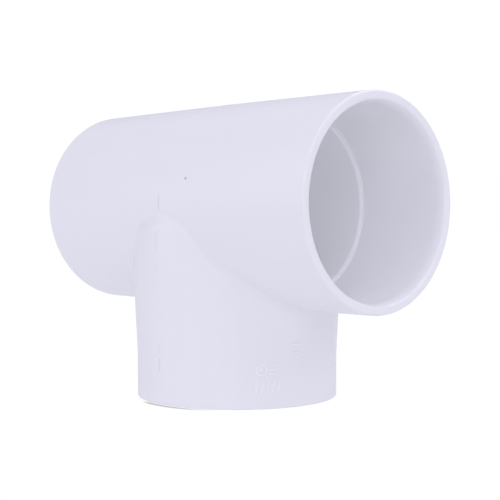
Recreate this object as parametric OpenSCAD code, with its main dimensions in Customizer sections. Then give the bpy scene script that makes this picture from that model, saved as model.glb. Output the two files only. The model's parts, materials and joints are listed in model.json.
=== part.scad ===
// Equal tee for solvent-welded pipe, moulded in one piece.
// The run lies along X and the branch hangs from its middle, along -Z. The fitting stands on the
// branch's mouth: the origin is the centre of that mouth, and +Z is up.

/* [Sockets] */
// Outside diameter of the pipe that each socket takes
pipe_od = 88.9; // [80:0.1:90.1]
// Gap between the pipe and the socket wall, halfway down the socket
socket_gap = 0.05; // [0.05:0.05:0.3]
// How far a pipe goes in before it meets the shoulder
socket_depth = 50; // [35:0.5:50]
// How much wider than the socket its lead-in cone is, at the mouth
lead_in = 1.3; // [0.5:0.1:1.5]
// How far down the socket the lead-in cone reaches
lead_in_depth = 2.4; // [1:0.2:4]

/* [Body] */
// From the crossing of the run's and the branch's axes to every mouth
centre_to_end = 95.4; // [95.4:0.2:120]
// Outside radius of the run at its middle, where the mould halves meet
run_mid_r = 50.4; // [50.2:0.1:54]
// Outside radius of each barrel at its mouth
mouth_r = 50; // [49:0.1:50.1]
// Outside radius of the branch where it stands proud of the run's sides
boss_r = 52; // [50.6:0.1:52.6]
// Outside radius of the branch just under the run
crotch_r = 51.2; // [50.6:0.1:52]
// Height, above the branch's mouth, at which the branch starts to thicken
crotch_start = 22; // [10:1:32]
// Radius that rounds the outer edge of each mouth
rim_round = 1.2; // [0.5:0.1:1.9]

/* [Waterway] */
// Radius of the waterway at each socket's shoulder
shoulder_r = 42.1; // [36:0.1:42.2]
// Radius that the waterway narrows to where the cores met, at the crossing
crossing_r = 41.8; // [35:0.1:41.9]

/* [Hidden] */
$fn = 96;

socket_r = pipe_od / 2 + socket_gap;
// The branch comes up inside the run, flush with its sides, and swells into a boss that stands proud
// of them. These are the boss's beginning, fullest reach and end, below the run's axis.
flush_r = run_mid_r - 0.15;
boss_top = 6;
boss_full = 11;
boss_end = 30;
// How far the cutters for the hollows stand out past the mouths
past = 1;

// Quarter-round profile of the rim's outer edge, with the whole barrel's profile inside it.
module barrel_profile(points, mouth) {
  polygon(concat(points, [[mouth_r, mouth - rim_round], [mouth_r - rim_round, mouth], [0, mouth]]));
  translate([mouth_r - rim_round, mouth - rim_round]) circle(r = rim_round);
}

// One half of the run, from the middle of the fitting up +Z to its mouth, with the mould's draft.
module run_half() {
  rotate_extrude() barrel_profile([[0, 0], [run_mid_r, 0]], centre_to_end);
}

// The branch, from the crossing up +Z to its mouth: flush inside the run, then the boss, then the
// thick neck under the run, which narrows to a straight barrel.
module branch_barrel() {
  rotate_extrude() barrel_profile([
    [0, 0],
    [flush_r, 0],
    [flush_r, boss_top],
    [boss_r, boss_full],
    [boss_r, boss_end],
    [crotch_r, run_mid_r],
    [mouth_r, centre_to_end - crotch_start]
  ], centre_to_end);
}

// The hollow of one arm, from the crossing up +Z out of its mouth: the waterway, which narrows
// towards the crossing, the socket, and the lead-in cone.
module arm_hollow() {
  shoulder_z = centre_to_end - socket_depth;
  cylinder(r1 = crossing_r, r2 = shoulder_r, h = shoulder_z);
  translate([0, 0, shoulder_z]) cylinder(r = socket_r, h = socket_depth + past);
  lead_in_slope = lead_in / lead_in_depth;
  translate([0, 0, centre_to_end - lead_in_depth])
    cylinder(r1 = socket_r, r2 = socket_r + lead_in + past * lead_in_slope, h = lead_in_depth + past);
}

// The fitting's three arms, each turned from +Z to where it points.
module on_right_arm() {
  translate([0, 0, centre_to_end]) rotate([0, 90, 0]) children();
}

module on_left_arm() {
  translate([0, 0, centre_to_end]) rotate([0, -90, 0]) children();
}

module on_branch() {
  translate([0, 0, centre_to_end]) rotate([180, 0, 0]) children();
}

// The whole fitting: one moulding, with a socket at each of its three mouths.
module tee_body() {
  color([0.89, 0.885, 0.935]) difference() {
    union() {
      on_right_arm() run_half();
      on_left_arm() run_half();
      on_branch() branch_barrel();
    }
    on_right_arm() arm_hollow();
    on_left_arm() arm_hollow();
    on_branch() arm_hollow();
  }
}

tee_body();
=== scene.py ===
import json
import math

import bpy
import numpy as np
from mathutils import Matrix, Vector


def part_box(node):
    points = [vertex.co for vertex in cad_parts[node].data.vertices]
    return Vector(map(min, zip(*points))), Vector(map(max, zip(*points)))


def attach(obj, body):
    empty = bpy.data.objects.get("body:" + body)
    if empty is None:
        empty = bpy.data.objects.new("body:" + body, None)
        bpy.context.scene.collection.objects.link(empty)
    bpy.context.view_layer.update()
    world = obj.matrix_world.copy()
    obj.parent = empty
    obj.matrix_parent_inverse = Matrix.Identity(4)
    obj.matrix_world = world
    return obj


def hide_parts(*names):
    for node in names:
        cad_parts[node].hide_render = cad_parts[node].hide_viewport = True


# A white plastic tee fitting, moulded in one piece, on white paper in a studio. The run lies along X
# and the branch hangs from its middle, along -Z. The fitting's skin is one closed mesh of quads,
# worked out row by row from the arms' radii, and each raised mark is a small shell sunk into it.

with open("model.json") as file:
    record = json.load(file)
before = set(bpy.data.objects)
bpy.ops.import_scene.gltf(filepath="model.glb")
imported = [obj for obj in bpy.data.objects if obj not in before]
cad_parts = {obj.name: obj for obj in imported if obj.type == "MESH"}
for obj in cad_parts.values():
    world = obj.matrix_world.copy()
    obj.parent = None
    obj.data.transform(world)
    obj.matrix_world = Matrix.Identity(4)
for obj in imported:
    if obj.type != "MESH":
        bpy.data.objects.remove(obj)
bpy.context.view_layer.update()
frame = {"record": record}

MM = 0.001
mounts = {m["name"]: m for m in frame["record"]["mounts"]}
body_low, body_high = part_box("tee_body")


# ---------------------------------------------------------------- the fitting's sizes, in metres

REACH = body_high.x                                # from the crossing of the axes to each mouth
AXIS_Z = mounts["run_socket_right"]["pos_m"][2]    # height of the run's axis
RUN_R = body_high.z - AXIS_Z                       # outside radius of the run at its middle
SOCKET_R = mounts["run_socket_right"]["dims"]["r_mm"] * MM
SOCKET_DEPTH = 50 * MM
MOUTH_R = RUN_R - 0.4 * MM                         # the mould's draft takes this off the barrel
BOSS_R = RUN_R + 1.6 * MM                          # the branch where it stands proud of the run
BOSS_TOP, BOSS_FULL, BOSS_END = 6 * MM, 11 * MM, 30 * MM    # how far below the run's axis
CROTCH_R = RUN_R + 0.8 * MM                        # the branch at the underside of the run
FLUSH_R = RUN_R - 0.15 * MM                        # the branch above its boss, inside the run
STRAIGHT = 22 * MM                                 # how far up the branch's barrel is straight
RIM_ROUND = 1.2 * MM
BARREL_END = REACH - RIM_ROUND - 0.3 * MM          # where the barrel's rows end, just short of the rim
FLARE, FLARE_DEPTH = 1.9 * MM, 6 * MM              # the bell that leads a pipe into the socket
SOCKET_TAPER = 0.15 * MM                           # at the mouth out, at the shoulder in
SHOULDER = REACH - SOCKET_DEPTH                    # from the crossing of the axes to each shoulder
SHOULDER_R = 42.6 * MM
SHOULDER_SLOPE = 0.05 * MM                         # how much deeper the shoulder is at its inner edge
SHOULDER_FILLET, SHOULDER_ROUND = 0.5 * MM, 1.1 * MM    # in its corner with the wall, and on its edge
WATERWAY_START = 2.4 * MM                          # how far past the shoulder its rounding is over
CROSSING_R = 41.8 * MM
CREASE_FILLET, CROTCH_FILLET = 3.5 * MM, 10 * MM   # outside, on the front and under the run
WIDENS_FROM, WIDENS_OVER = 22 * MM, 26 * MM        # the stretch along X where the one becomes the other
CORE_FILLET = 1.2 * MM                             # inside, where the cores met
RIDGE_HEIGHT = 0.10 * MM                           # the parting line's flash
RIDGE_HALF_WIDTH = 0.26 * MM


def smooth(t):
    """A smooth rise from 0 to 1, as t goes from 0 to 1."""
    t = np.clip(t, 0, 1)
    return t * t * (3 - 2 * t)


def run_radius(along):
    """Outside radius of the run, at a distance along from the middle."""
    return RUN_R + (MOUTH_R - RUN_R) * np.abs(along) / REACH


def branch_radius(along):
    """Outside radius of the branch: it rises out of the run's front as a boss, and thins to a
    straight barrel."""
    barrel = np.interp(along, [BOSS_END, RUN_R, REACH - STRAIGHT], [BOSS_R, CROTCH_R, MOUTH_R])
    return FLUSH_R + (barrel - FLUSH_R) * smooth((along - BOSS_TOP) / (BOSS_FULL - BOSS_TOP))


def waterway_radius(along):
    """Radius of the waterway in any arm."""
    return CROSSING_R + (SHOULDER_R - CROSSING_R) * np.abs(along) / SHOULDER


def ridge(x):
    """How far the parting line stands out, at a distance x from the parting plane."""
    return RIDGE_HEIGHT * np.clip(1 - (x / RIDGE_HALF_WIDTH) ** 2, 0, 1) ** 2


def crease_fillet(x):
    """Radius of the blend between the run and the branch, which widens from the front to the
    crotches."""
    widened = smooth((np.abs(x) - WIDENS_FROM) / WIDENS_OVER)
    return CREASE_FILLET + (CROTCH_FILLET - CREASE_FILLET) * widened


# ---------------------------------------------------------------- the moulding's skin

# How far the rows and columns beside the parting plane are from it, close enough for its flash.
NEAR = np.array([0, .08, .16, .24, .34, .5, .8, 1.2, 1.8, 2.7]) * MM
# How far from the seam the rows of the blend are, and then those of the plain barrel.
BLEND = np.concatenate([NEAR, np.arange(3.1, 7.1, 0.4) * MM, np.arange(7.6, 9.7, 0.7) * MM])
PLAIN = BLEND[-1] + (BARREL_END - BLEND[-1]) * np.linspace(0, 1, 22)[1:] ** 1.15
# Each barrel row's place on the way from the seam, at 0, to the mouth's profile, which takes over at
# 1, and each waterway row's place on the way back from there to the seam.
BARREL_STEPS = (np.concatenate([BLEND, PLAIN]) / BARREL_END)[:-1]
WATERWAY_STEPS = np.concatenate([[0.97, 0.9, 0.8], np.linspace(0.68, 0, 16) ** 1.3])
FAR_COLUMNS = 45                                   # in each quarter turn, away from the parting plane
BISECTIONS = 42                                    # enough to settle a radius far below a nanometre
GUARD = 0.15 * MM                                  # the close pair of rows at each end of a straight
LONGEST_STEP = 8 * MM                              # between the mouth's rows on a straight
HALF_TURN_STEPS = 16                               # of the mouth's rows, where they round a corner
BELL_ROWS = 17


def column_angles():
    """Angles round an arm, crowded beside the parting plane. The first half goes from -90 to 90
    degrees, the side of a run arm that faces the branch, and the rest mirrors it."""
    far = np.linspace(NEAR[-1] / RUN_R, math.pi / 2, FAR_COLUMNS + 1)[1:]
    quarter = np.concatenate([NEAR / RUN_R, far])
    half = np.concatenate([-math.pi / 2 + quarter, (math.pi / 2 - quarter[::-1])[1:]])
    return np.concatenate([half, math.pi - half[::-1][1:-1]]), len(half)


ANGLES, FACING = column_angles()
COLUMNS = len(ANGLES)


def mirrored(columns):
    """The left arm's column at each branch column's place, from the far side round."""
    return np.where(columns < FACING, columns, COLUMNS - columns)


def run_point(sign):
    """Places on the right arm of the run, for a sign of 1, or on the left arm, for -1."""
    return lambda along, r, angle: (sign * along, r * np.sin(angle), -r * np.cos(angle))


def branch_point(along, r, angle):
    """A place on the branch."""
    return r * np.cos(angle), r * np.sin(angle), -along


def seam_rays(angle):
    """Rays from the crossing, in the mitre plane between the right arm and the branch."""
    return lambda t: (t * np.cos(angle), t * np.sin(angle), -t * np.cos(angle))


def blend_of(run_r, branch_r, fillet_at):
    """A function of points that is negative inside the run and the branch together, where run_r
    and branch_r give their radii, and a ball has rolled along their corner, of a radius that
    fillet_at gives."""
    def value(x, y, z):
        fillet = fillet_at(x)
        to_run, to_branch = np.hypot(y, z), np.hypot(x, y)
        d1, d2 = to_run - run_r(x), to_branch - branch_r(-z)
        cos = np.clip(y * y / (to_run * to_branch), 0, 1)
        sin2 = np.maximum(1 - cos * cos, 1e-6)
        a = ((d1 - fillet) - cos * (d2 - fillet)) / sin2
        b = ((d2 - fillet) - cos * (d1 - fillet)) / sin2
        rolled = fillet - np.sqrt(np.maximum(a * a + b * b + 2 * a * b * cos, 0))
        return np.where((a < 0) & (b < 0), rolled, np.minimum(d1, d2))
    return value


def solve(value, point, near, shape):
    """The distance at which value changes sign, along the rays that point(distance) gives. It lies
    between 0.9 and 1.25 of the distance near."""
    low, high = np.full(shape, near * 0.9), np.full(shape, near * 1.25)
    for _ in range(BISECTIONS):
        middle = (low + high) / 2
        outside = value(*point(middle)) > 0
        low, high = np.where(outside, low, middle), np.where(outside, middle, high)
    return (low + high) / 2


class Skin:
    """The skin outside or inside the three arms, from their common seams outwards."""

    def __init__(self, run_r, branch_r, fillet_at, flash):
        self.run_r, self.flash = run_r, flash
        self.value = blend_of(run_r, branch_r, fillet_at)
        facing = ANGLES[:FACING]
        seam = solve(self.value, seam_rays(facing), run_r(0.0), facing.shape)
        self.run_seam = np.concatenate([seam * np.cos(facing), np.zeros(COLUMNS - FACING)])
        self.run_seam[[0, FACING - 1]] = 0
        self.branch_seam = np.abs(self.run_seam[mirrored(np.arange(COLUMNS))])

    def run_radii(self, along):
        """Radii of a run arm's rows: along is rows by columns."""
        angle = np.broadcast_to(ANGLES, along.shape)
        r = solve(self.value, lambda r: run_point(1)(along, r, angle), self.run_r(0.0), along.shape)
        away = np.broadcast_to(np.arange(COLUMNS) >= FACING, along.shape)
        r = np.where(away, self.run_r(along), r)
        return r + self.flash(along)

    def branch_radii(self, along):
        """Radii of the branch's rows."""
        angle = np.broadcast_to(ANGLES, along.shape)
        r = solve(self.value, lambda r: branch_point(along, r, angle), self.run_r(0.0), along.shape)
        return r + self.flash(r * np.cos(angle))

    def rows(self, arm, end, steps):
        """(along, radius) of an arm's rows, by their steps on the way from the seam to the end."""
        if arm == "branch":
            start, radii = self.branch_seam, self.branch_radii
        else:
            start, radii = self.run_seam, self.run_radii
        along = start + (end - start) * steps[:, None]
        return np.stack([along, radii(along)], -1)


def rounded(corners):
    """Points along a path of (along, radius, fillet) corners, with each corner rounded."""
    points = [np.array(corners[0][:2])]
    for before, here, after in zip(corners, corners[1:], corners[2:]):
        corner, fillet = np.array(here[:2]), here[2]
        back, ahead = (np.array(p[:2]) - corner for p in (before, after))
        back, ahead = back / np.hypot(*back), ahead / np.hypot(*ahead)
        turn = math.pi - math.acos(np.dot(back, ahead))
        middle = corner + (back + ahead) / np.hypot(*(back + ahead)) * fillet / math.cos(turn / 2)
        start = corner + back * fillet * math.tan(turn / 2) - middle
        end = corner + ahead * fillet * math.tan(turn / 2) - middle
        line_to(points, middle + start)
        for t in np.linspace(0, 1, max(4, round(turn / math.pi * HALF_TURN_STEPS)) + 1)[1:]:
            points.append(middle + (math.sin((1 - t) * turn) * start + math.sin(t * turn) * end)
                          / math.sin(turn))
    line_to(points, np.array(corners[-1][:2]))
    return points


def line_to(points, end):
    """Adds a straight line's points, with a close pair at each end so that its shading is flat."""
    start = points[-1]
    length = np.hypot(*(end - start))
    guard = min(GUARD, length / 4) / length
    inner = np.linspace(guard, 1 - guard, 2 + int(length / LONGEST_STEP))
    points.extend(start + (end - start) * t for t in [*inner, 1])


def mouth_profile():
    """(along, radius) of the rows from the barrel's end, round the rim and down to the waterway."""
    wall_r = SOCKET_R + SOCKET_TAPER
    rim = rounded([
        (BARREL_END, MOUTH_R, 0),
        (REACH, MOUTH_R, RIM_ROUND),
        (REACH, wall_r + FLARE, 0),
    ])
    bell = [np.array([REACH - FLARE_DEPTH * (1 - math.cos(t)), wall_r + FLARE * (1 - math.sin(t))])
            for t in np.linspace(0, math.pi / 2, BELL_ROWS)]
    socket = rounded([
        (REACH - FLARE_DEPTH, wall_r, 0),
        (SHOULDER, SOCKET_R - SOCKET_TAPER, SHOULDER_FILLET),
        (SHOULDER - SHOULDER_SLOPE, SHOULDER_R, SHOULDER_ROUND),
        (SHOULDER - WATERWAY_START, SHOULDER_R, 0),
    ])
    return [*rim, *bell[1:], *socket[1:]]


def arm_grid(outside, inside, arm):
    """Rows by columns of (along, radius) for one arm: the barrel, the mouth, then the waterway."""
    return np.concatenate([
        outside.rows(arm, BARREL_END, BARREL_STEPS),
        np.array(mouth_profile())[:, None, :].repeat(COLUMNS, 1),
        inside.rows(arm, SHOULDER - WATERWAY_START, WATERWAY_STEPS),
    ])


def skin_mesh():
    """The whole moulding's vertices and quads, welded along the seams. The right arm makes its seams'
    vertices. The left arm shares the ones on the side away from the branch and makes the others, and
    the branch takes all of its own from those two."""
    outside = Skin(run_radius, branch_radius, crease_fillet, ridge)
    inside = Skin(waterway_radius, waterway_radius, lambda x: CORE_FILLET, lambda x: 0 * x)
    vertices, faces, seams = [], [], {}
    columns = np.arange(COLUMNS)
    facing = columns < FACING
    own_to_left = facing & (columns != 0) & (columns != FACING - 1)

    def add(points):
        first = len(vertices)
        vertices.extend(points)
        return np.arange(first, first + len(points))

    def seam(arm, side, points):
        if arm == "right":
            ids = add(points)
        elif arm == "left":
            ids = seams["right", side].copy()
            ids[own_to_left] = add(points[own_to_left])
        else:
            ids = np.where(facing, seams["right", side], seams["left", side][mirrored(columns)])
        seams[arm, side] = ids
        return ids

    for arm, place in (("right", run_point(1)), ("left", run_point(-1)), ("branch", branch_point)):
        grid = arm_grid(outside, inside, arm)
        points = np.stack(place(grid[..., 0], grid[..., 1], ANGLES), -1)
        first = seam(arm, "outside", points[0])
        rows = [add(row) for row in points[1:-1]]
        ids = np.array([first, *rows, seam(arm, "inside", points[-1])])
        nxt = np.roll(ids, -1, 1)
        quads = np.stack([ids[:-1], nxt[:-1], nxt[1:], ids[1:]], -1).reshape(-1, 4)
        # The left arm and the branch mirror the right arm, so their quads turn the other way.
        faces.extend(quads if arm == "right" else quads[:, ::-1])
    return np.array(vertices) + [0, 0, AXIS_Z], np.array(faces)


# ---------------------------------------------------------------- the raised marks on the branch

MARK_SECTION = np.linspace(0, 2 * math.pi, 14, endpoint=False)
# Half the width of a mark, and its height.
STRONG = 0.56 * MM, 0.26 * MM
BOLD = 0.56 * MM, 0.24 * MM
FINE = 0.5 * MM, 0.22 * MM
FAINT = 0.5 * MM, 0.14 * MM


def bead(path, sizes, half_width, height, closed):
    """A raised line along a path of (around, up) points on the branch's barrel, in metres. around
    is measured along the barrel from +X towards +Y, and up from the branch's mouth. sizes thin the
    line along its way. The line is a closed tube, with its lower half sunk into the barrel."""
    path = np.array(path)
    tangent = np.roll(path, -1, 0) - np.roll(path, 1, 0) if closed else np.gradient(path, axis=0)
    tangent = tangent / np.hypot(*tangent.T)[:, None]
    across = np.stack([tangent[:, 1], -tangent[:, 0]], -1)
    side = np.cos(MARK_SECTION) * half_width * sizes[:, None]
    around, up = (path[:, k, None] + across[:, k, None] * side for k in (0, 1))
    lift = np.sin(MARK_SECTION) * np.abs(np.sin(MARK_SECTION)) ** 1.5
    radius = branch_radius(AXIS_Z - up) + lift * height * sizes[:, None]
    angle = around / MOUTH_R
    points = np.stack([radius * np.cos(angle), radius * np.sin(angle), up], -1).reshape(-1, 3)
    rows, columns = sizes.size, len(MARK_SECTION)
    ids = np.arange(rows * columns).reshape(rows, columns)
    after, nxt = np.roll(ids, -1, 0), np.roll(ids, -1, 1)
    quads = np.stack([ids, after, np.roll(nxt, -1, 0), nxt], -1)
    if closed:
        return points, [tuple(q) for q in quads.reshape(-1, 4)]
    faces = [tuple(q) for q in quads[:-1].reshape(-1, 4)]
    return points, [*faces, tuple(ids[0]), tuple(ids[-1][::-1])]


def bar(start, end, half_width, height):
    """A straight raised bar with rounded ends, between two points in millimetres."""
    start, end = np.array(start) * MM, np.array(end) * MM
    ahead = (end - start) / np.hypot(*(end - start))
    turns = np.radians([80, 55, 28])                   # round each end, from its tip
    middle = start + (end - start) * np.linspace(0, 1, 4)[:, None]
    path = [start - ahead * half_width * math.sin(t) for t in turns]
    path += list(middle)
    path += [end + ahead * half_width * math.sin(t) for t in turns[::-1]]
    caps = np.cos(turns)
    sizes = np.concatenate([caps, np.ones(len(middle)), caps[::-1]])
    return bead(path, sizes, half_width, height, False)


def ring(centre, radius, half_width, height):
    """A raised ring, with its centre and radius in millimetres."""
    turns = np.linspace(0, 2 * math.pi, 28, endpoint=False)
    path = np.array(centre) * MM + radius * MM * np.stack([np.cos(turns), np.sin(turns)], -1)
    return bead(path, np.ones(len(turns)), half_width, height, True)


def marks():
    """Raised marks on the branch, in millimetres: two rows of them, and fainter ones beside."""
    yield ring((-25.4, 18.4), 2.5, *BOLD)
    yield ring((-25.4, 18.4), 0.6, *FINE)
    for up in (16.4, 18.4, 20.4):
        yield bar((-21.7, up), (-18.2, up), *FINE)
    for k in range(5):
        yield bar((-28.1 + 2.75 * k, 8.0), (-27.2 + 2.75 * k, 12.6), *BOLD)
    for up in (25.9, 27.8, 29.7):
        yield bar((-9.6, up), (-6.4, up), *FAINT)
    yield bar((-9.6, 23.9), (-3.4, 23.9), *FAINT)
    yield ring((21.6, 21.2), 1.9, *STRONG)
    yield bar((20.0, 17.4), (23.4, 17.4), *BOLD)


def with_marks(vertices, faces):
    """The skin, with each mark's closed shell added to it."""
    vertices, faces = [vertices], [tuple(f) for f in faces]
    for points, shell in marks():
        first = sum(len(v) for v in vertices)
        vertices.append(points)
        faces.extend(tuple(first + i for i in f) for f in shell)
    return np.concatenate(vertices), faces


def mesh_object(name, vertices, faces):
    """A smooth-shaded object of these vertices and faces."""
    mesh = bpy.data.meshes.new(name)
    mesh.from_pydata([tuple(v) for v in vertices], [], [tuple(int(i) for i in f) for f in faces])
    mesh.validate()
    mesh.shade_smooth()
    piece = bpy.data.objects.new(name, mesh)
    bpy.context.scene.collection.objects.link(piece)
    return piece


# ---------------------------------------------------------------- nodes

def maths(tree, operation, *values):
    """A math node's result. Each value is a number or another node's output."""
    node = tree.nodes.new("ShaderNodeMath")
    node.operation = operation
    for socket, value in zip(node.inputs, values):
        if isinstance(value, bpy.types.NodeSocket):
            tree.links.new(value, socket)
        else:
            socket.default_value = value
    return node.outputs[0]


def hypotenuse(tree, a, b):
    """The length of a vector whose parts are a and b."""
    return maths(tree, "SQRT", maths(tree, "MULTIPLY_ADD", a, a, maths(tree, "MULTIPLY", b, b)))


def weighed(tree, start, *terms):
    """start, with a share of each term's value added to it. A term is (value, share)."""
    total = start
    for value, share in terms:
        total = maths(tree, "MULTIPLY_ADD", value, share, total)
    return total


def noise(tree, place, cells, detail, seed):
    """Noise between 0 and 1 over the place, with cells to a metre along each axis."""
    nodes, links = tree.nodes, tree.links
    scaled = nodes.new("ShaderNodeMapping")
    scaled.inputs["Scale"].default_value = cells
    scaled.inputs["Location"].default_value = (seed, seed * 0.7, seed * 0.3)
    links.new(place, scaled.inputs["Vector"])
    texture = nodes.new("ShaderNodeTexNoise")
    texture.inputs["Scale"].default_value = 1
    texture.inputs["Detail"].default_value = detail
    links.new(scaled.outputs[0], texture.inputs["Vector"])
    return texture.outputs["Fac"]


def ramp(tree, value, low, high, to_low=0.0, to_high=1.0):
    """A value's smooth change from to_low to to_high, between low and high."""
    node = tree.nodes.new("ShaderNodeMapRange")
    node.interpolation_type = "SMOOTHSTEP"
    tree.links.new(value, node.inputs["Value"])
    node.inputs["From Min"].default_value = low
    node.inputs["From Max"].default_value = high
    node.inputs["To Min"].default_value = to_low
    node.inputs["To Max"].default_value = to_high
    return node.outputs["Result"]


def blend(tree, amount, first, second):
    """first where amount is 0, and second where it is 1."""
    kept = maths(tree, "MULTIPLY", maths(tree, "SUBTRACT", 1.0, amount), first)
    return maths(tree, "MULTIPLY_ADD", amount, second, kept)


def xyz_of(tree, coordinate):
    """The three parts of one of the texture coordinates."""
    split = tree.nodes.new("ShaderNodeSeparateXYZ")
    tree.links.new(tree.nodes.new("ShaderNodeTexCoord").outputs[coordinate], split.inputs[0])
    return split.outputs


# ---------------------------------------------------------------- the plastic

PLASTIC_COLOUR = (0.917, 0.923, 0.928)
PLASTIC_IOR = 1.53
PLASTIC_ROUGHNESS = 0.22                               # at its smoothest, outside the sockets
STREAK_SHADE, CLOUD_SHADE = 0.020, 0.014               # how much they lighten and darken the plastic
# Each noise's cells to a metre along each axis, its detail and its seed.
RUN_STREAKS = (14, 90, 150), 3, 3.1
BRANCH_STREAKS = (130, 130, 16), 3, 8.4
MOTTLE = (38, 38, 38), 2, 1.7
CLOUD = (11, 11, 14), 1, 5.2
GRAIN = (1100, 1100, 1100), 2, 0.4
SCUFF_PATCHES = (20, 20, 20), 1, 6.6
LEVEL_HAIRS = (60, 60, 1500), 1, 2.2
UPRIGHT_HAIRS = (1400, 900, 50), 1, 4.9
SPECK_RAGGED = (2500, 2500, 2500), 1, 0.9
# How high those noises are where a scuffed patch or a hair of it starts, and where it is full.
PATCH_EDGE = 0.52, 0.66
LEVEL_HAIR_EDGE = 0.70, 0.76
UPRIGHT_HAIR_EDGE = 0.71, 0.77

SPECK = (18.5 * MM, -48.9 * MM, AXIS_Z + 11.8 * MM)    # the one dark speck, on the front of the run
SPECK_R, SPECK_END = 0.5 * MM, 0.95 * MM               # where it is full, and where it ends
SPECK_WOBBLE = 0.35 * MM                               # how ragged its edge is
FLECK_CELLS = 62                                       # to a metre, of which a few hold a faint fleck
FLECK_R, FLECK_END = 0.012, 0.026                      # in cells
FLECK_CHOICE = 0.90, 0.93                              # a cell's random red that gives it a fleck

WITNESS = (                # height above the run's axis from and to, in mm, and how dark
    (-2.6, 4.5, 0.13),
    (-22.6, -13.7, 0.07),
    (-31.0, -27.5, 0.06),
    (-69.5, -66.5, 0.06),
    (-79.5, -73.3, 0.13),
    (40, 49, 0.04),
)
WITNESS_AT = 0.3 * MM                                  # the darker line lies beside the flash's top
WITNESS_HALF_WIDTH = 0.12 * MM, 0.5 * MM               # where it is full, and where it ends
WITNESS_FRONT = -2 * MM, -6 * MM                       # it starts and is full, towards the front
MARKS_TOP = 33 * MM                                    # all the raised marks are lower than this


def flow_streaks(tree, place, z):
    """Streaks along each arm, as the plastic flowed into the mould."""
    on_run = ramp(tree, z, AXIS_Z - RUN_R - 4 * MM, AXIS_Z - RUN_R + 12 * MM)
    return blend(tree, on_run, noise(tree, place, *BRANCH_STREAKS), noise(tree, place, *RUN_STREAKS))


def handling_scuffs(tree, place):
    """1 on hair-thin scuffs, which lie in a few patches."""
    patch = ramp(tree, noise(tree, place, *SCUFF_PATCHES), *PATCH_EDGE)
    level = ramp(tree, noise(tree, place, *LEVEL_HAIRS), *LEVEL_HAIR_EDGE)
    upright = ramp(tree, noise(tree, place, *UPRIGHT_HAIRS), *UPRIGHT_HAIR_EDGE)
    return maths(tree, "MULTIPLY", patch, maths(tree, "MAXIMUM", level, upright))


def dark_speck(tree, place):
    """1 on the one dark speck, which has a ragged edge."""
    away = tree.nodes.new("ShaderNodeVectorMath")
    away.operation = "DISTANCE"
    tree.links.new(place, away.inputs[0])
    away.inputs[1].default_value = SPECK
    ragged = weighed(tree, away.outputs["Value"], (noise(tree, place, *SPECK_RAGGED), SPECK_WOBBLE))
    return ramp(tree, ragged, SPECK_R, SPECK_END, 1, 0)


def faint_flecks(tree, place):
    """1 on the odd fleck that was moulded in."""
    cells = tree.nodes.new("ShaderNodeTexVoronoi")
    cells.inputs["Scale"].default_value = FLECK_CELLS
    tree.links.new(place, cells.inputs["Vector"])
    chosen = tree.nodes.new("ShaderNodeSeparateColor")
    tree.links.new(cells.outputs["Color"], chosen.inputs[0])
    return maths(tree, "MULTIPLY", ramp(tree, cells.outputs["Distance"], FLECK_R, FLECK_END, 1, 0),
                 ramp(tree, chosen.outputs["Red"], *FLECK_CHOICE))


def witness_line(tree, xyz):
    """How dark the parting line is, in short stretches here and there."""
    x, y, z = xyz
    off = maths(tree, "ABSOLUTE", maths(tree, "SUBTRACT", x, WITNESS_AT))
    line = maths(tree, "MULTIPLY", ramp(tree, off, *WITNESS_HALF_WIDTH, 1, 0),
                 ramp(tree, y, *WITNESS_FRONT))
    total = 0.0
    for low, high, strength in WITNESS:
        here = maths(tree, "MULTIPLY",
                     ramp(tree, z, AXIS_Z + (low - 1.2) * MM, AXIS_Z + (low + 0.8) * MM),
                     ramp(tree, z, AXIS_Z + (high + 1.2) * MM, AXIS_Z + (high - 0.8) * MM))
        total = maths(tree, "MULTIPLY_ADD", here, strength, total)
    return maths(tree, "MULTIPLY", line, total)


def raised(tree, xyz):
    """1 on what stands proud of the branch's barrel, near its mouth, and 0 elsewhere: a painted
    highlight goes there.
    """
    x, y, z = xyz
    swell = maths(tree, "MULTIPLY", maths(tree, "MAXIMUM", maths(tree, "SUBTRACT", z, STRAIGHT), 0),
                  (CROTCH_R - MOUTH_R) / (REACH - STRAIGHT - RUN_R))
    proud = maths(tree, "SUBTRACT", maths(tree, "SUBTRACT", hypotenuse(tree, x, y), MOUTH_R), swell)
    return maths(tree, "MULTIPLY", ramp(tree, proud, 0.04 * MM, 0.14 * MM),
                 ramp(tree, z, MARKS_TOP + 3 * MM, MARKS_TOP))


def on_shoulder(tree, xyz):
    """1 on the shoulder at the bottom of each socket, and 0 elsewhere: glossier there, with a painted
    highlight.
    """
    x, y, z = xyz
    height = maths(tree, "SUBTRACT", z, AXIS_Z)
    below = maths(tree, "MULTIPLY", height, -1)
    middle, full, end = SHOULDER - 0.6 * MM, 0.7 * MM, 1.1 * MM
    total = 0.0
    for along, a, b in ((maths(tree, "ABSOLUTE", x), y, height), (below, x, y)):
        off = maths(tree, "ABSOLUTE", maths(tree, "SUBTRACT", along, middle))
        here = maths(tree, "MULTIPLY", ramp(tree, off, full, end, 1, 0),
                     ramp(tree, hypotenuse(tree, a, b), SOCKET_R + 0.2 * MM, SOCKET_R))
        total = maths(tree, "MAXIMUM", here, total)
    return total


def on_rim(tree, xyz):
    """1 on the rim of each mouth, and 0 elsewhere."""
    x, _, z = xyz
    reach = maths(tree, "MAXIMUM", maths(tree, "ABSOLUTE", x), maths(tree, "SUBTRACT", AXIS_Z, z))
    return ramp(tree, reach, REACH - 0.9 * MM, REACH - 0.1 * MM)


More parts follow.
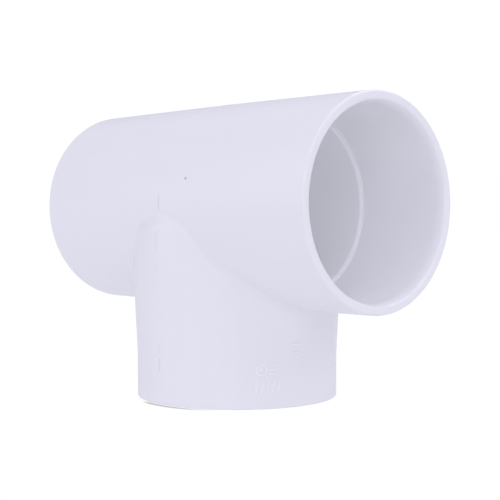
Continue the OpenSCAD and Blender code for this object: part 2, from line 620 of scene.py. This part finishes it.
def plastic():
    """White rigid plastic as moulded: flow streaks along each arm, a slight mottle, a fine grain,
    faint scuffs, dark flecks, and darker stretches along the parting line. A painted highlight makes
    the raised marks and the sockets' shoulders paler; the shoulders are glossier, the rims more matt."""
    material = bpy.data.materials.new("white_moulded_plastic")
    material.use_nodes = True
    tree = material.node_tree
    nodes, links = tree.nodes, tree.links
    shader = nodes["Principled BSDF"]
    place = nodes.new("ShaderNodeTexCoord").outputs["Object"]
    xyz = xyz_of(tree, "Object")

    streaks = flow_streaks(tree, place, xyz["Z"])
    mottle = noise(tree, place, *MOTTLE)
    grain = noise(tree, place, *GRAIN)
    scuffs = handling_scuffs(tree, place)
    # The sockets' shoulders: glossier, and paler from a painted sheen.
    shoulder_gloss_and_painted_sheen = on_shoulder(tree, xyz)

    cloud = noise(tree, place, *CLOUD)
    # Painted highlight: the raised marks and the sockets' shoulders are made paler than the rest.
    painted_highlight = maths(tree, "MAXIMUM", raised(tree, xyz), shoulder_gloss_and_painted_sheen)
    evened = 1 - (STREAK_SHADE + 2 * CLOUD_SHADE) / 2       # so that the noises leave the mean at 1
    shade = weighed(tree, evened, (streaks, STREAK_SHADE), (mottle, CLOUD_SHADE), (cloud, CLOUD_SHADE),
                    (scuffs, -0.012), (painted_highlight, 0.07))
    dark = weighed(tree, witness_line(tree, xyz), (dark_speck(tree, place), 0.55),
                   (faint_flecks(tree, place), 0.10))
    shade = maths(tree, "MULTIPLY", shade, maths(tree, "SUBTRACT", 1, dark))
    colour = nodes.new("ShaderNodeCombineColor")
    for channel, level in zip(("Red", "Green", "Blue"), PLASTIC_COLOUR):
        links.new(maths(tree, "MULTIPLY", shade, level), colour.inputs[channel])
    links.new(colour.outputs[0], shader.inputs["Base Color"])

    rough = weighed(tree, PLASTIC_ROUGHNESS, (mottle, 0.04), (grain, 0.03), (shoulder_gloss_and_painted_sheen, -0.08),
                    (on_rim(tree, xyz), 0.05))
    links.new(rough, shader.inputs["Roughness"])
    shader.inputs["IOR"].default_value = PLASTIC_IOR

    relief = weighed(tree, 0.0, (grain, 0.006 * MM), (mottle, 0.05 * MM), (streaks, 0.02 * MM),
                     (scuffs, -0.002 * MM))
    bump = nodes.new("ShaderNodeBump")
    bump.inputs["Distance"].default_value = 1.0
    links.new(relief, bump.inputs["Height"])
    links.new(bump.outputs[0], shader.inputs["Normal"])
    return material


# ---------------------------------------------------------------- stage and light

WHITE = 1.02                             # of the paper and the backdrop, as the camera sees them
FLOOR_HALF = 20.0
FLOOR_GAP = 0.2 * MM                     # between the floor and the fitting's foot
SHADOW_STARTS = -110, -98                # where it starts and is full, in degrees from +X towards +Y
SHADOW_ENDS = -48, -78                   # where it ends and is full
SHADOW_WIDTH = 2.8 * MM
SHADOW_DEPTH = 0.55
LIGHT_COLOUR = (1.003, 0.991, 1.137, 1)  # the photograph's faint violet tint
AMBIENT_LIGHT = 0.515
FLOOR_LIGHT = 0.75
SOFTBOX_EDGE = 4                         # how far a softbox's light takes to fade out, in degrees
SOFTBOXES = (                            # azimuths from -Y towards +X, elevations, strength
    ((-54, -24), (-2, 60), 0.62),
    ((26, 56), (-2, 30), 1.78),
    ((66, 226), (30, 60), 0.84),
    ((-180, 180), (60, 96), 0.46),
)


def white_to_camera(tree, other, kind, output):
    """White to the camera, from a new shader of the kind named, and the other shader to everything
    that it lights. What comes back is the white's strength."""
    nodes, links = tree.nodes, tree.links
    path = nodes.new("ShaderNodeLightPath")
    white = nodes.new(kind)
    white.inputs["Color"].default_value = (1, 1, 1, 1)
    white.inputs["Strength"].default_value = WHITE
    mix = nodes.new("ShaderNodeMixShader")
    links.new(path.outputs["Is Camera Ray"], mix.inputs[0])
    links.new(other, mix.inputs[1])
    links.new(white.outputs[0], mix.inputs[2])
    links.new(mix.outputs[0], output.inputs["Surface"])
    return white.inputs["Strength"]


def contact_shadow(tree):
    """What is left of the floor's white beside the foot: a thin dark line round its front left,
    that fades out within a few millimetres."""
    x, y, _ = xyz_of(tree, "Object")
    away = hypotenuse(tree, x, y)
    round_foot = maths(tree, "ARCTAN2", y, x)
    side = maths(tree, "MULTIPLY", ramp(tree, round_foot, *np.radians(SHADOW_STARTS)),
                 ramp(tree, round_foot, *np.radians(SHADOW_ENDS)))
    depth = maths(tree, "MULTIPLY", ramp(tree, away, MOUTH_R - 2 * MM, MOUTH_R),
                  ramp(tree, away, MOUTH_R, MOUTH_R + SHADOW_WIDTH, SHADOW_DEPTH, 0))
    return maths(tree, "SUBTRACT", 1, maths(tree, "MULTIPLY", side, depth))


def floor():
    """White paper under the fitting, which throws light up at it."""
    h = FLOOR_HALF
    plane = mesh_object("floor", [(-h, -h, 0), (h, -h, 0), (h, h, 0), (-h, h, 0)], [(0, 1, 2, 3)])
    plane.location.z = body_low.z - FLOOR_GAP
    material = bpy.data.materials.new("floor_paper")
    material.use_nodes = True
    tree = material.node_tree
    glow = tree.nodes.new("ShaderNodeEmission")
    glow.inputs["Color"].default_value = LIGHT_COLOUR
    glow.inputs["Strength"].default_value = FLOOR_LIGHT
    white = white_to_camera(tree, glow.outputs[0], "ShaderNodeEmission", tree.nodes["Material Output"])
    tree.links.new(maths(tree, "MULTIPLY", contact_shadow(tree), WHITE), white)
    plane.data.materials.append(material)


def between(tree, angle, low, high):
    """1 where an angle is between two others, in degrees, and 0 elsewhere, with a soft edge."""
    middle, half = math.radians((low + high) / 2), (high - low) / 2
    off = maths(tree, "WRAP", maths(tree, "SUBTRACT", angle, middle), math.pi, -math.pi)
    return ramp(tree, maths(tree, "ABSOLUTE", off),
                math.radians(half + SOFTBOX_EDGE), math.radians(half - SOFTBOX_EDGE))


def studio_light():
    """An even dome of light, with large softboxes in it."""
    world = bpy.data.worlds.new("studio")
    bpy.context.scene.world = world
    world.use_nodes = True
    tree = world.node_tree
    tree.nodes.clear()
    x, y, z = xyz_of(tree, "Generated")
    azimuth = maths(tree, "ARCTAN2", x, maths(tree, "MULTIPLY", y, -1))
    elevation = maths(tree, "ARCSINE", z)
    strength = AMBIENT_LIGHT
    for across, up, power in SOFTBOXES:
        inside = maths(tree, "MULTIPLY", between(tree, azimuth, *across), between(tree, elevation, *up))
        strength = maths(tree, "MULTIPLY_ADD", inside, power, strength)
    light = tree.nodes.new("ShaderNodeBackground")
    light.inputs["Color"].default_value = LIGHT_COLOUR
    tree.links.new(strength, light.inputs["Strength"])
    output = tree.nodes.new("ShaderNodeOutputWorld")
    white_to_camera(tree, light.outputs[0], "ShaderNodeBackground", output)


# ---------------------------------------------------------------- camera

CAMERA_AZIMUTH = 47.25                   # from -Y towards +X, in degrees
CAMERA_ELEVATION = 1.47
CAMERA_DISTANCE = 11.26 * RUN_R
CAMERA_RIGHT = 0.1285 * RUN_R
CAMERA_UP = -0.4471 * RUN_R
CAMERA_LENS_PER_FRAME = 2.2525           # focal length over the frame's width
SENSOR_WIDTH = 36


def direction(azimuth, elevation):
    """The unit vector towards an azimuth and an elevation, in degrees."""
    a, e = math.radians(azimuth), math.radians(elevation)
    return Vector((math.sin(a) * math.cos(e), -math.cos(a) * math.cos(e), math.sin(e)))


def camera():
    """The camera, at the photograph's viewing angle."""
    back = direction(CAMERA_AZIMUTH, CAMERA_ELEVATION)
    right = Vector((0, 0, 1)).cross(back).normalized()
    up = back.cross(right)
    place = Vector((0, 0, AXIS_Z)) + back * CAMERA_DISTANCE + right * CAMERA_RIGHT + up * CAMERA_UP
    data = bpy.data.cameras.new("camera")
    data.sensor_width = SENSOR_WIDTH
    data.lens = SENSOR_WIDTH * CAMERA_LENS_PER_FRAME
    data.clip_start, data.clip_end = 0.01, 100
    shot = bpy.data.objects.new("camera", data)
    bpy.context.scene.collection.objects.link(shot)
    shot.matrix_world = Matrix.Translation(place) @ Matrix((right, up, back)).transposed().to_4x4()
    bpy.context.scene.camera = shot


camera()
floor()
studio_light()
bpy.context.scene.view_settings.view_transform = "Standard"

body = mesh_object("tee_moulding", *with_marks(*skin_mesh()))
body.data.materials.append(plastic())
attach(body, "root")
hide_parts("tee_body")
